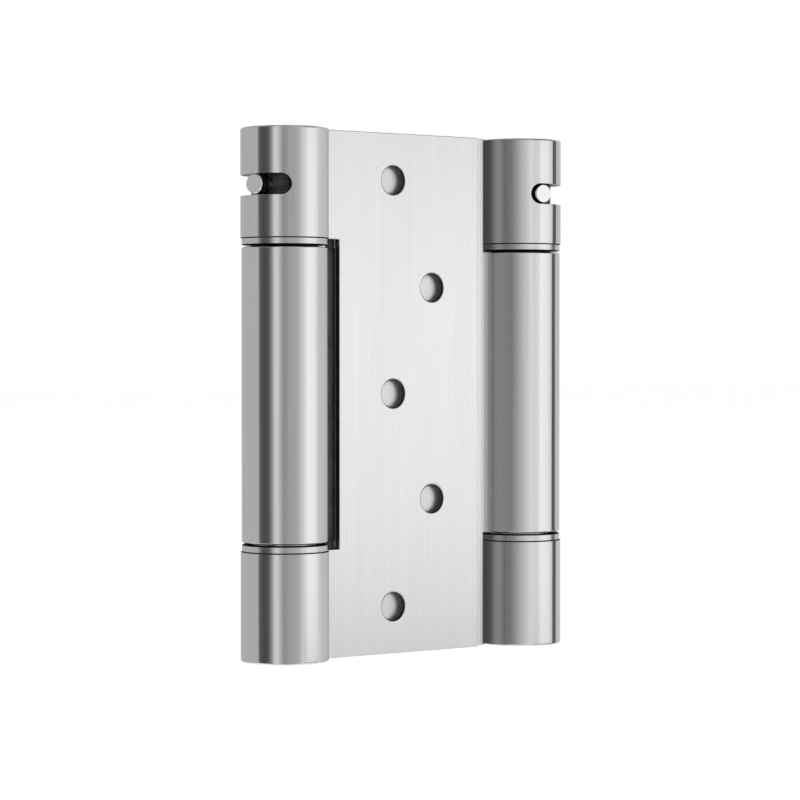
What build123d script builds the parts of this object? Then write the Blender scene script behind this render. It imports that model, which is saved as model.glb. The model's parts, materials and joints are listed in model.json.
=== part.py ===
from build123d import *
import os
from math import cos, radians, sin, sqrt

# Double action spring hinge, 125 mm tall, drawn closed.
# Millimetres. +Z runs up along both barrels, +X from the left barrel to the
# right one, and -Y is the outer face of the frame leaf. The origin is the
# middle of the hinge, halfway between the barrel axes. The hinge is the same
# when it is turned half a turn about Z, apart from where its stop pins stand.

# Overall
hinge_height = 125.0
axis_spacing = 70.4  # between the two barrel axes

# Plates: the web in the middle, a leaf on each side of it
web_thickness = 1.9
leaf_thickness = 1.9
plate_gap = 0.15  # between the web and each leaf
leaf_free_edge = 19.9  # from the middle to the straight edge of a leaf
notch_gap = 3.2  # from a knuckle's side to the edge of the leaf's notch
web_gap = 1.6  # from a knuckle's side to the web's edge
weld_radius = 1.1  # fillet where a plate meets its barrel
inner_weld_radius = 0.5  # the same, on a leaf's hidden face
plate_edge_round = 0.2

# Screw holes of each leaf
outer_rows_z = 51.2
inner_rows_z = 25.6
hole_column = 5.8  # the two columns stand this far from the middle
screw_hole_radius = 3.3
hole_edge_break_radius = 3.8  # on the face that lies on the door or frame
countersink_radius = 4.4  # on the face that the screw goes in from

# Barrels
knuckle_radius = 10.4
knuckle_wall = 2.5
knuckle_height = 25.8
knuckle_end_round = 0.5
knuckle_inner_break = 0.15
tube_step = 0.25  # the tube stands back from the knuckles by this much
tube_wall = 2.4
tube_end_break = 0.3
ring_step = 0.3  # and the rings by this much
ring_thickness = 1.6
ring_gap = 0.45  # the dark line between a ring and the tube
ring_edge_break = 0.15
spigot_length = 1.5  # how far a ring sits in the knuckle's bore

# Clearances
running_clearance = 0.05  # radial, for what turns on a journal
collar_clearance = 0.07  # radial, between the collar and the knuckle's bore
thrust_clearance = 0.05  # between faces that turn on each other
ring_clearance = 0.15  # radial, between a ring and the journal through it
end_clearance = 0.2  # behind caps and plugs

# Slot and stop pin, angles counted from the plates about the barrel's axis
slot_z = 49.0
slot_height = 4.9
slot_from = 82.0  # centres of the slot's round ends
slot_to = 231.5
slot_lip_round = 0.15
pin_radius = 2.3
pin_length = 7.9
pin_edge_break = 0.15
pin_angle = {"left": 198.0, "right": 87.0}
pin_stands_out = {"left": 1.3, "right": 0.0}  # past the knuckle's surface

# Inside a barrel
cap_thickness = 3.5
cap_recess = 0.3
cap_edge_break = 0.4
journal_edge_break = 0.5
upper_bush_wall = 0.9
upper_bush_length = 8.4
lower_bush_wall = 1.15
lower_bush_length = 7.3
anchor_length = 12.9
anchor_wall = 1.55  # round the lower bush
guide_rod_seat = 3.2  # how deep the rod sits in the anchor
guide_rod_socket = 4.6  # depth of its hole in the collar
guide_rod_end_gap = 0.6
spring_wire_radius = 1.2
spring_turn_height = 2.97  # from one turn to the next
spring_leg_length = 3.0  # each straight end, past the coil
spring_leg_clearance = 0.1  # round a leg and past its end
spring_leg_wall = 0.3  # what the collar keeps outside the leg's hole
spring_rod_gap = 1.0  # between the coil and the guide rod
spring_end_gap = 0.15  # between the coil and what its leg stands in

# Worked out from the sizes above
half_height = hinge_height / 2
half_spacing = axis_spacing / 2
barrel_relief = knuckle_radius + notch_gap
knuckle_bore_radius = knuckle_radius - knuckle_wall
tube_radius = knuckle_radius - tube_step
tube_bore_radius = tube_radius - tube_wall
ring_radius = knuckle_radius - ring_step
collar_journal_radius = tube_bore_radius - upper_bush_wall - running_clearance
plug_journal_radius = tube_bore_radius - anchor_wall - lower_bush_wall - running_clearance
spring_mean_radius = (
    collar_journal_radius - spring_leg_wall - spring_leg_clearance - spring_wire_radius
)
guide_rod_radius = spring_mean_radius - spring_wire_radius - spring_rod_gap
knuckle_face_z = half_height - knuckle_height
ring_face_z = knuckle_face_z - ring_thickness
tube_end_z = ring_face_z - ring_gap
spigot_z = knuckle_face_z + spigot_length
cap_outer_z = half_height - cap_recess
cap_inner_z = cap_outer_z - cap_thickness
bearing_z = ring_face_z - thrust_clearance
web_face = web_thickness / 2
leaf_inner_face = web_face + plate_gap
leaf_outer_face = leaf_inner_face + leaf_thickness
web_edge = half_spacing - knuckle_radius - web_gap
anchor_top_z = anchor_length - bearing_z
collar_bottom_z = -anchor_top_z
coil_height = 2 * (collar_bottom_z - spring_end_gap - spring_wire_radius)
spring_turns = round(coil_height / spring_turn_height)
spring_pitch = coil_height / spring_turns

# The hinge seen from its own side, and each barrel's own plane. The right
# barrel and the door leaf are the left ones turned half a turn about Z.
hinge_plane = {
    "left": Plane(origin=(0, 0, 0), x_dir=(1, 0, 0), z_dir=(0, 0, 1)),
    "right": Plane(origin=(0, 0, 0), x_dir=(-1, 0, 0), z_dir=(0, 0, 1)),
}
barrel_plane = {
    side: Plane(
        origin=plane.from_local_coords((-half_spacing, 0, 0)),
        x_dir=plane.x_dir,
        z_dir=plane.z_dir,
    )
    for side, plane in hinge_plane.items()
}
leaf_name = {"left": "frame_leaf_plate", "right": "door_leaf_plate"}


def around(side):
    """The axis of a barrel."""
    return Axis(barrel_plane[side].origin, (0, 0, 1))


def from_axis(side, point):
    """How far a point stands from a barrel's axis."""
    place = barrel_plane[side].to_local_coords(point)
    return sqrt(place.X**2 + place.Y**2)


def profile_plane(side):
    """The plane through a barrel's axis in which its turned parts are drawn."""
    plane = barrel_plane[side]
    return Plane(origin=plane.origin, x_dir=plane.x_dir, z_dir=-plane.y_dir)


def radial_plane(side, angle, distance, height):
    """A plane across a radius of the barrel, facing away from its axis."""
    plane = barrel_plane[side]
    outward = plane.x_dir * cos(radians(angle)) + plane.y_dir * sin(radians(angle))
    origin = plane.origin + outward * distance + Vector(0, 0, height)
    return Plane(origin=origin, x_dir=(0, 0, 1), z_dir=outward)


def leaf_face_plane(side, outer):
    """A plane on a leaf's face, pointing away from the metal."""
    plane = hinge_plane[side]
    depth = leaf_outer_face if outer else leaf_inner_face
    facing = -plane.y_dir if outer else plane.y_dir
    return Plane(
        origin=plane.from_local_coords((0, -depth, 0)),
        x_dir=plane.x_dir,
        z_dir=facing,
    )


os.makedirs("parts", exist_ok=True)

# Web plate: between the leaves, welded to both spring tubes
with BuildPart() as web_plate:
    with BuildSketch(Plane.XY.offset(-tube_end_z)) as tongue_section:
        Rectangle(axis_spacing, web_thickness)
        with Locations((-half_spacing, 0), (half_spacing, 0)):
            Circle(tube_radius)
        weld_x = half_spacing - sqrt(tube_radius**2 - web_face**2)
        corners = [
            tongue_section.vertices().sort_by_distance((x, y))[0]
            for x in (-weld_x, weld_x)
            for y in (-web_face, web_face)
        ]
        fillet(corners, weld_radius)
        with Locations((-half_spacing, 0), (half_spacing, 0)):
            Circle(tube_radius, mode=Mode.SUBTRACT)
    extrude(amount=2 * tube_end_z)
    with BuildSketch(Plane.XY.offset(-half_height)):
        Rectangle(2 * web_edge, web_thickness)
    extrude(amount=hinge_height)
    outline = web_plate.edges().filter_by(
        lambda edge: abs(edge.center().Z) > tube_end_z
        and abs(abs(edge.center().Y) - web_face) < plate_gap
    )
    fillet(outline, plate_edge_round)
web_plate.part.label = "web_plate"
export_step(web_plate.part, "parts/web_plate.step")

for side in ("left", "right"):
    plane = barrel_plane[side]

    # Leaf plate: joined to the barrel's two knuckles, with a notch round its
    # spring tube and five countersunk holes set out in a zigzag
    with BuildPart() as leaf:
        middle_y = -(leaf_inner_face + leaf_outer_face) / 2
        with BuildSketch(hinge_plane[side].offset(-half_height)) as leaf_section:
            with Locations(((leaf_free_edge - half_spacing) / 2, middle_y)):
                Rectangle(leaf_free_edge + half_spacing, leaf_thickness)
            with Locations((-half_spacing, 0)):
                Circle(knuckle_radius)
            for face_y, radius in (
                (-leaf_outer_face, weld_radius),
                (-leaf_inner_face, inner_weld_radius),
            ):
                weld_x = -half_spacing + sqrt(knuckle_radius**2 - face_y**2)
                fillet(leaf_section.vertices().sort_by_distance((weld_x, face_y))[0], radius)
            with Locations((-half_spacing, 0)):
                Circle(knuckle_radius, mode=Mode.SUBTRACT)
        extrude(amount=hinge_height)
        with BuildSketch(hinge_plane[side].offset(-knuckle_face_z)):
            with Locations((-half_spacing + barrel_relief / 2, 0)):
                Rectangle(barrel_relief, 2 * knuckle_radius)
        extrude(amount=2 * knuckle_face_z, mode=Mode.SUBTRACT)
        for face_y in (-leaf_outer_face, -leaf_inner_face):
            weld_side = -half_spacing + barrel_relief - plate_gap
            outline = [
                edge
                for edge in leaf.edges()
                for middle in [hinge_plane[side].to_local_coords(edge.center())]
                if abs(middle.Y - face_y) < plate_gap / 10
                and (middle.X > weld_side or abs(middle.Z) < knuckle_face_z + plate_gap)
            ]
            fillet(outline, plate_edge_round)
        screw_places = [(-hole_column, z) for z in (-outer_rows_z, 0, outer_rows_z)]
        screw_places += [(hole_column, z) for z in (-inner_rows_z, inner_rows_z)]
        with Locations(leaf_face_plane(side, outer=False)):
            with Locations(*screw_places):
                CounterSinkHole(screw_hole_radius, countersink_radius, counter_sink_angle=90)
        with Locations(leaf_face_plane(side, outer=True)):
            with Locations(*screw_places):
                CounterSinkHole(screw_hole_radius, hole_edge_break_radius, counter_sink_angle=90)
    leaf.part.label = leaf_name[side]
    export_step(leaf.part, f"parts/{leaf_name[side]}.step")

    # Upper knuckle: the adjusting slot runs round its far side
    with BuildPart() as upper_knuckle:
        with BuildSketch(plane.offset(knuckle_face_z)):
            Circle(knuckle_radius)
            Circle(knuckle_bore_radius, mode=Mode.SUBTRACT)
        extrude(amount=knuckle_height)
        rims = upper_knuckle.edges().filter_by(GeomType.CIRCLE)
        rims = rims.filter_by(lambda edge: edge.radius > knuckle_radius - knuckle_wall / 2)
        fillet(rims.sort_by(Axis.Z)[-1], knuckle_end_round)
        chamfer(rims.sort_by(Axis.Z)[0], knuckle_inner_break)
        start = radial_plane(side, slot_from, 0, slot_z)
        with BuildSketch(Plane(origin=start.origin, x_dir=start.z_dir, z_dir=start.y_dir)):
            with Locations((knuckle_radius, 0)):
                Rectangle(knuckle_radius, slot_height)
        revolve(axis=around(side), revolution_arc=slot_to - slot_from, mode=Mode.SUBTRACT)
        for angle in (slot_from, slot_to):
            with BuildSketch(radial_plane(side, angle, knuckle_radius / 2, slot_z)):
                Circle(slot_height / 2)
            extrude(amount=knuckle_radius, mode=Mode.SUBTRACT)
        lips = upper_knuckle.edges().filter_by(GeomType.LINE, reverse=True)
        lips = lips.filter_by(lambda edge: abs(edge.center().Z - slot_z) < slot_height)
        lips = lips.filter_by(lambda edge: from_axis(side, edge @ 0) > knuckle_radius - slot_lip_round)
        fillet(lips, slot_lip_round)
    upper_knuckle.part.label = f"{side}_upper_knuckle"
    export_step(upper_knuckle.part, f"parts/{side}_upper_knuckle.step")

    # Lower knuckle
    with BuildPart() as lower_knuckle:
        with BuildSketch(plane.offset(-half_height)):
            Circle(knuckle_radius)
            Circle(knuckle_bore_radius, mode=Mode.SUBTRACT)
        extrude(amount=knuckle_height)
        rims = lower_knuckle.edges().filter_by(GeomType.CIRCLE)
        rims = rims.filter_by(lambda edge: edge.radius > knuckle_radius - knuckle_wall / 2)
        fillet(rims.sort_by(Axis.Z)[0], knuckle_end_round)
        chamfer(rims.sort_by(Axis.Z)[-1], knuckle_inner_break)
    lower_knuckle.part.label = f"{side}_lower_knuckle"
    export_step(lower_knuckle.part, f"parts/{side}_lower_knuckle.step")

    # Spring tube: the long middle part of the barrel, welded to the web
    with BuildPart() as spring_tube:
        with BuildSketch(plane.offset(-tube_end_z)):
            Circle(tube_radius)
            Circle(tube_bore_radius, mode=Mode.SUBTRACT)
        extrude(amount=2 * tube_end_z)
        rims = spring_tube.edges().filter_by(GeomType.CIRCLE)
        chamfer(rims.filter_by(lambda edge: edge.radius > tube_radius - tube_wall / 2), tube_end_break)
    spring_tube.part.label = f"{side}_spring_tube"
    export_step(spring_tube.part, f"parts/{side}_spring_tube.step")

    # Thrust rings: a flange that shows between knuckle and tube, and a spigot
    # in the knuckle's bore. The upper one clears the collar's journal and the
    # lower one the pivot plug's.
    for level, sign, hole_radius in (
        ("upper", 1, collar_journal_radius + ring_clearance),
        ("lower", -1, plug_journal_radius + ring_clearance),
    ):
        with BuildPart() as ring:
            with BuildSketch(profile_plane(side)):
                with BuildLine():
                    Polyline(
                        (hole_radius, sign * ring_face_z),
                        (ring_radius - ring_edge_break, sign * ring_face_z),
                        (ring_radius, sign * (ring_face_z + ring_edge_break)),
                        (ring_radius, sign * (knuckle_face_z - ring_edge_break)),
                        (ring_radius - ring_edge_break, sign * knuckle_face_z),
                        (knuckle_bore_radius, sign * knuckle_face_z),
                        (knuckle_bore_radius, sign * spigot_z),
                        (hole_radius, sign * spigot_z),
                        close=True,
                    )
                make_face()
            revolve(axis=around(side))
        ring.part.label = f"{side}_{level}_thrust_ring"
        export_step(ring.part, f"parts/{side}_{level}_thrust_ring.step")

    # Tension collar: turns in the upper knuckle. Two holes drilled right
    # across it take the stop pin and the tommy bar, and the spring's upper
    # leg stands in its lower end.
    with BuildPart() as collar:
        body_radius = knuckle_bore_radius - collar_clearance
        shoulder_z = spigot_z + thrust_clearance
        collar_top_z = cap_inner_z - end_clearance
        socket_radius = guide_rod_radius + running_clearance
        with BuildSketch(profile_plane(side)):
            with BuildLine():
                Polyline(
                    (0, collar_bottom_z + guide_rod_socket),
                    (socket_radius, collar_bottom_z + guide_rod_socket),
                    (socket_radius, collar_bottom_z),
                    (collar_journal_radius, collar_bottom_z),
                    (collar_journal_radius, shoulder_z),
                    (body_radius, shoulder_z),
                    (body_radius, collar_top_z - cap_edge_break),
                    (body_radius - cap_edge_break, collar_top_z),
                    (0, collar_top_z),
                    close=True,
                )
            make_face()
        revolve(axis=around(side))
        for quarter in (0, 90):
            across = radial_plane(side, pin_angle[side] + quarter, -knuckle_radius, slot_z)
            with BuildSketch(across):
                Circle(pin_radius + running_clearance)
            extrude(amount=2 * knuckle_radius, mode=Mode.SUBTRACT)
        with BuildSketch(Plane.XY.offset(collar_bottom_z)):
            with Locations((plane.origin.X + spring_mean_radius, 0)):
                Circle(spring_wire_radius + spring_leg_clearance)
        extrude(amount=spring_leg_length + spring_leg_clearance, mode=Mode.SUBTRACT)
    collar.part.label = f"{side}_tension_collar"
    export_step(collar.part, f"parts/{side}_tension_collar.step")

    # Stop pin: stands in one of the collar's holes and reaches into the slot
    with BuildPart() as stop_pin:
        foot = knuckle_radius + pin_stands_out[side] - pin_length
        with BuildSketch(radial_plane(side, pin_angle[side], foot, slot_z)):
            Circle(pin_radius)
        extrude(amount=pin_length)
        chamfer(stop_pin.edges().filter_by(GeomType.CIRCLE), pin_edge_break)
    stop_pin.part.label = f"{side}_stop_pin"
    export_step(stop_pin.part, f"parts/{side}_stop_pin.step")

    # Upper bush: pressed in the tube, carries the collar's journal
    with BuildPart() as upper_bush:
        with BuildSketch(plane.offset(bearing_z - upper_bush_length)):
            Circle(tube_bore_radius)
            Circle(collar_journal_radius + running_clearance, mode=Mode.SUBTRACT)
        extrude(amount=upper_bush_length)
    upper_bush.part.label = f"{side}_upper_bush"
    export_step(upper_bush.part, f"parts/{side}_upper_bush.step")

    # Spring anchor: pressed in the tube's lower end, stands on the lower ring
    with BuildPart() as anchor:
        bush_radius = plug_journal_radius + running_clearance + lower_bush_wall
        with BuildSketch(plane.offset(-bearing_z)):
            Circle(tube_bore_radius)
        extrude(amount=anchor_length)
        with BuildSketch(plane.offset(-bearing_z)):
            Circle(bush_radius)
        extrude(amount=lower_bush_length, mode=Mode.SUBTRACT)
        with BuildSketch(plane.offset(anchor_top_z - guide_rod_seat)):
            Circle(guide_rod_radius)
        extrude(amount=guide_rod_seat, mode=Mode.SUBTRACT)
        with BuildSketch(Plane.XY.offset(anchor_top_z)):
            with Locations((plane.origin.X + spring_mean_radius, 0)):
                Circle(spring_wire_radius + spring_leg_clearance)
        extrude(amount=-(spring_leg_length + spring_leg_clearance), mode=Mode.SUBTRACT)
    anchor.part.label = f"{side}_spring_anchor"
    export_step(anchor.part, f"parts/{side}_spring_anchor.step")

    # Lower bush: pressed in the anchor, turns on the pivot plug
    with BuildPart() as lower_bush:
        with BuildSketch(plane.offset(-bearing_z)):
            Circle(bush_radius)
            Circle(plug_journal_radius + running_clearance, mode=Mode.SUBTRACT)
        extrude(amount=lower_bush_length)
    lower_bush.part.label = f"{side}_lower_bush"
    export_step(lower_bush.part, f"parts/{side}_lower_bush.step")

    # Guide rod: keeps the spring straight, fixed in the anchor and free to
    # turn in the collar
    with BuildPart() as guide_rod:
        rod_foot_z = anchor_top_z - guide_rod_seat
        rod_tip_z = collar_bottom_z + guide_rod_socket - guide_rod_end_gap
        with BuildSketch(plane.offset(rod_foot_z)):
            Circle(guide_rod_radius)
        extrude(amount=rod_tip_z - rod_foot_z)
        chamfer(guide_rod.edges().sort_by(Axis.Z)[-1], journal_edge_break)
    guide_rod.part.label = f"{side}_guide_rod"
    export_step(guide_rod.part, f"parts/{side}_guide_rod.step")

    # Torsion spring: a coil with a straight leg at each end
    with BuildPart() as spring:
        coil_z = anchor_top_z + spring_end_gap + spring_wire_radius
        start_x = plane.origin.X + spring_mean_radius
        with BuildLine() as coil_line:
            Helix(spring_pitch, spring_pitch * spring_turns, spring_mean_radius,
                  center=(plane.origin.X, 0, coil_z))
        with BuildSketch(Plane(origin=coil_line.line @ 0, z_dir=coil_line.line % 0)):
            Circle(spring_wire_radius)
        sweep(path=coil_line.line, is_frenet=True)
        leg = spring_leg_length + spring_end_gap + spring_wire_radius
        with BuildSketch(Plane.XY.offset(coil_z)):
            with Locations((start_x, 0)):
                Circle(spring_wire_radius)
        extrude(amount=-leg)
        with BuildSketch(Plane.XY.offset(-coil_z)):
            with Locations((start_x, 0)):
                Circle(spring_wire_radius)
        extrude(amount=leg)
    spring.part.label = f"{side}_torsion_spring"
    export_step(spring.part, f"parts/{side}_torsion_spring.step")

    # Pivot plug: pressed in the lower knuckle, its journal carries the tube
    with BuildPart() as pivot_plug:
        plug_foot_z = -cap_inner_z + end_clearance
        journal_top_z = -bearing_z + lower_bush_length - end_clearance
        with BuildSketch(plane.offset(plug_foot_z)):
            Circle(knuckle_bore_radius)
        extrude(amount=-spigot_z - plug_foot_z)
        with BuildSketch(plane.offset(-spigot_z)):
            Circle(plug_journal_radius)
        extrude(amount=journal_top_z + spigot_z)
        chamfer(pivot_plug.edges().sort_by(Axis.Z)[-1], journal_edge_break)
    pivot_plug.part.label = f"{side}_pivot_plug"
    export_step(pivot_plug.part, f"parts/{side}_pivot_plug.step")

    # Caps: discs pressed in the open ends of the barrel
    with BuildPart() as top_cap:
        with BuildSketch(plane.offset(cap_inner_z)):
            Circle(knuckle_bore_radius)
        extrude(amount=cap_thickness)
        chamfer(top_cap.edges().sort_by(Axis.Z)[-1], cap_edge_break)
    top_cap.part.label = f"{side}_top_cap"
    export_step(top_cap.part, f"parts/{side}_top_cap.step")

    with BuildPart() as bottom_cap:
        with BuildSketch(plane.offset(-cap_outer_z)):
            Circle(knuckle_bore_radius)
        extrude(amount=cap_thickness)
        chamfer(bottom_cap.edges().sort_by(Axis.Z)[0], cap_edge_break)
    bottom_cap.part.label = f"{side}_bottom_cap"
    export_step(bottom_cap.part, f"parts/{side}_bottom_cap.step")
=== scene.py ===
import json
from math import asin, atan2, cos, degrees, pi, radians, sin, sqrt

import bmesh
import bpy
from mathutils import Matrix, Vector

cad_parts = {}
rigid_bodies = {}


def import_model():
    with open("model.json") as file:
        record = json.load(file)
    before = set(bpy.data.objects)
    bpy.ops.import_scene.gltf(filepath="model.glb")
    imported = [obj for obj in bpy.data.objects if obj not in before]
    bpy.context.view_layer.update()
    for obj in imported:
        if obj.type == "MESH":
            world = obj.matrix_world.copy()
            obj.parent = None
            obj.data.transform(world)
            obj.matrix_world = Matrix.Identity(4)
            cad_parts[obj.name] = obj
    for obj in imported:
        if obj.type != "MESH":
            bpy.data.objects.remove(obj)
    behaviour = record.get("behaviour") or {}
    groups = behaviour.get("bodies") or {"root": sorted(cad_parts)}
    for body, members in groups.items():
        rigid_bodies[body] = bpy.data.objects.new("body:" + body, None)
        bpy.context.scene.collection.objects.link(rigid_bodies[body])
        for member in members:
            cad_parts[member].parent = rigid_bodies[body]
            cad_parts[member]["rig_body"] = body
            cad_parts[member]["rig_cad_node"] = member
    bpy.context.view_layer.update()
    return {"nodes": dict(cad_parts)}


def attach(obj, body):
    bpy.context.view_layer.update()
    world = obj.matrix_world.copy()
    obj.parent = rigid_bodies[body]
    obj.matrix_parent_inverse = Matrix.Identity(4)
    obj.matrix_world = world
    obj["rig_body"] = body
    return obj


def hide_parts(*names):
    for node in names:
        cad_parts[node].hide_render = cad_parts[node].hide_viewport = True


# Double action spring hinge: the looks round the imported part. Sizes in the
# dictionaries are millimetres and degrees, everything in Blender is metres.
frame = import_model()
mm = 0.001
barrelX = -35.2  # axis of the left barrel, the right one mirrors it


# Small helpers for selecting and shaping

def clearSelection():
    if bpy.context.mode != "OBJECT":
        bpy.ops.object.mode_set(mode="OBJECT")
    bpy.ops.object.select_all(action="DESELECT")


def makeActive(piece):
    clearSelection()
    piece.select_set(True)
    bpy.context.view_layer.objects.active = piece


def openMesh(piece, kind="FACE"):
    makeActive(piece)
    bpy.ops.object.mode_set(mode="EDIT")
    bpy.ops.mesh.select_mode(type=kind)
    bpy.ops.mesh.select_all(action="DESELECT")


def closeMesh():
    bpy.ops.object.mode_set(mode="OBJECT")


def pickFaces(piece, test):
    bpy.ops.mesh.select_all(action="DESELECT")
    mesh = bmesh.from_edit_mesh(piece.data)
    for face in mesh.faces:
        if test(face.calc_center_median() / mm, face.normal):
            face.select_set(True)
    bmesh.update_edit_mesh(piece.data)


def pickEdges(piece, test):
    bpy.ops.mesh.select_all(action="DESELECT")
    mesh = bmesh.from_edit_mesh(piece.data)
    for edge in mesh.edges:
        ends = [v.co / mm for v in edge.verts]
        if test(ends[0], ends[1]):
            edge.select_set(True)
    bmesh.update_edit_mesh(piece.data)


def namePiece(name):
    piece = bpy.context.active_object
    piece.name = piece.data.name = name
    return piece


def placeInMesh(piece):
    makeActive(piece)
    bpy.ops.object.transform_apply(location=True, rotation=True, scale=True)


def addModifier(piece, kind, name, **settings):
    modifier = piece.modifiers.new(name, kind)
    for key, value in settings.items():
        setattr(modifier, key, value)
    makeActive(piece)
    bpy.ops.object.modifier_apply(modifier=name)


def roundEdges(piece, width, segments=3, angle=40):
    addModifier(piece, "BEVEL", "edgeRound", width=width * mm, segments=segments,
                limit_method="ANGLE", angle_limit=radians(angle), use_clamp_overlap=False)


def cutOut(piece, cutter):
    addModifier(piece, "BOOLEAN", "cutOut", operation="DIFFERENCE", solver="EXACT", object=cutter)
    bpy.data.objects.remove(cutter, do_unlink=True)


def smoothFaces(piece, angle=32):
    makeActive(piece)
    bpy.ops.object.shade_smooth_by_angle(angle=radians(angle), keep_sharp_edges=False)
    addModifier(piece, "WEIGHTED_NORMAL", "evenShading", keep_sharp=True, weight=60)


def giveFinish(piece, material):
    piece.data.materials.clear()
    piece.data.materials.append(material)


def markFaces(piece, material, test):
    # a second material on the picked faces, such as painted shade on an edge
    piece.data.materials.append(material)
    openMesh(piece)
    pickFaces(piece, test)
    piece.active_material_index = len(piece.data.materials) - 1
    bpy.ops.object.material_slot_assign()
    closeMesh()


def halfTurnCopy(piece, name):
    # the door side is the frame side turned half a turn about the upright axis
    makeActive(piece)
    bpy.ops.object.duplicate(linked=False)
    twin = namePiece(name)
    bpy.ops.transform.rotate(value=pi, orient_axis="Z", orient_type="GLOBAL", center_override=(0, 0, 0))
    placeInMesh(twin)
    return twin


def turnPiece(name, axisX, profile, segments=192):
    # a ring of points pulled along the closed outline of a turned part
    clearSelection()
    radius, level = profile[0]
    bpy.ops.mesh.primitive_circle_add(vertices=segments, radius=radius * mm, fill_type="NOTHING",
                                      location=(axisX * mm, 0, level * mm))
    piece = namePiece(name)
    placeInMesh(piece)
    openMesh(piece, "VERT")
    bpy.ops.mesh.select_all(action="SELECT")
    for newRadius, newLevel in profile[1:] + profile[:1]:
        bpy.ops.mesh.extrude_region_move(TRANSFORM_OT_translate={"value": (0, 0, (newLevel - level) * mm)})
        grow = newRadius / radius
        bpy.ops.transform.resize(value=(grow, grow, 1), orient_type="GLOBAL",
                                 center_override=(axisX * mm, 0, newLevel * mm))
        radius, level = newRadius, newLevel
    bpy.ops.mesh.select_all(action="SELECT")
    bpy.ops.mesh.remove_doubles(threshold=0.002 * mm)
    bpy.ops.mesh.normals_make_consistent(inside=False)
    closeMesh()
    return piece


def roundedCorner(radius, level, size, toward, steps=5):
    # outline points of a rounded outer corner, from the end face to the side
    points = []
    for step in range(steps + 1):
        turn = radians(90 * step / steps)
        points.append((radius - size + size * sin(turn), level - toward * (size - size * cos(turn))))
    return points


# Finishes

steel = {
    "colour": (0.765, 0.768, 0.772),
    "plateColour": (0.855, 0.857, 0.859),
    "plateRoughness": 0.27,
    "barrelRoughness": 0.09,
    "ringRoughness": 0.2,
    "pinRoughness": 0.16,
}


def newMetal(name, colour, roughness):
    material = bpy.data.materials.new(name)
    material.use_nodes = True
    shader = material.node_tree.nodes["Principled BSDF"]
    shader.inputs["Base Color"].default_value = colour
    shader.inputs["Metallic"].default_value = 1.0
    shader.inputs["Roughness"].default_value = roughness
    return material, material.node_tree, shader


def addNode(tree, kind, inputs=None, **settings):
    node = tree.nodes.new(kind)
    for key, value in settings.items():
        setattr(node, key, value)
    for key, value in (inputs or {}).items():
        node.inputs[key].default_value = value
    return node


def stretchedNoise(tree, size, detail):
    # noise with waves of that many millimetres along X, Y and Z
    where = addNode(tree, "ShaderNodeTexCoord")
    mapping = addNode(tree, "ShaderNodeMapping", {"Scale": [1000 / s for s in size]})
    noise = addNode(tree, "ShaderNodeTexNoise", {"Scale": 1.0, "Detail": detail, "Roughness": 0.6})
    tree.links.new(where.outputs["Object"], mapping.inputs["Vector"])
    tree.links.new(mapping.outputs["Vector"], noise.inputs["Vector"])
    return noise.outputs["Fac"]


def remap(tree, value, low, high, fromLow=0.3, fromHigh=0.7):
    node = addNode(tree, "ShaderNodeMapRange", {"From Min": fromLow, "From Max": fromHigh,
                                                "To Min": low, "To Max": high})
    tree.links.new(value, node.inputs["Value"])
    return node.outputs["Result"]


def makeSatinSteel(name, roughness, spread, grain, grainDepth, wave, waveDepth, tone=0.03, specks=0.0,
                   colour=steel["colour"]):
    # brushed metal: fine grain in one direction, a slow waviness, small tone changes
    material, tree, shader = newMetal(name, (*colour, 1), roughness)
    fine = stretchedNoise(tree, grain, 3)
    broad = stretchedNoise(tree, wave, 2)
    tree.links.new(remap(tree, fine, roughness - spread, roughness + spread), shader.inputs["Roughness"])
    mix = addNode(tree, "ShaderNodeMix", data_type="RGBA", clamp_factor=True)
    mix.inputs["A"].default_value = [c * (1 - tone) for c in colour] + [1]
    mix.inputs["B"].default_value = [min(1, c * (1 + tone)) for c in colour] + [1]
    tree.links.new(remap(tree, broad, 0, 1), mix.inputs["Factor"])
    colourOut = mix.outputs["Result"]
    if specks:
        dots = addNode(tree, "ShaderNodeTexVoronoi", {"Scale": 90.0, "Randomness": 1.0})
        where = addNode(tree, "ShaderNodeTexCoord")
        tree.links.new(where.outputs["Object"], dots.inputs["Vector"])
        spot = remap(tree, dots.outputs["Distance"], specks, 0, 0.02, 0.035)
        dark = addNode(tree, "ShaderNodeMix", data_type="RGBA", clamp_factor=True)
        dark.inputs["B"].default_value = (0.3, 0.3, 0.3, 1)
        tree.links.new(spot, dark.inputs["Factor"])
        tree.links.new(colourOut, dark.inputs["A"])
        colourOut = dark.outputs["Result"]
    tree.links.new(colourOut, shader.inputs["Base Color"])
    waveBump = addNode(tree, "ShaderNodeBump", {"Strength": 1.0, "Distance": waveDepth * mm})
    grainBump = addNode(tree, "ShaderNodeBump", {"Strength": 1.0, "Distance": grainDepth * mm})
    tree.links.new(broad, waveBump.inputs["Height"])
    tree.links.new(fine, grainBump.inputs["Height"])
    tree.links.new(waveBump.outputs["Normal"], grainBump.inputs["Normal"])
    tree.links.new(grainBump.outputs["Normal"], shader.inputs["Normal"])
    return material


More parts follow.
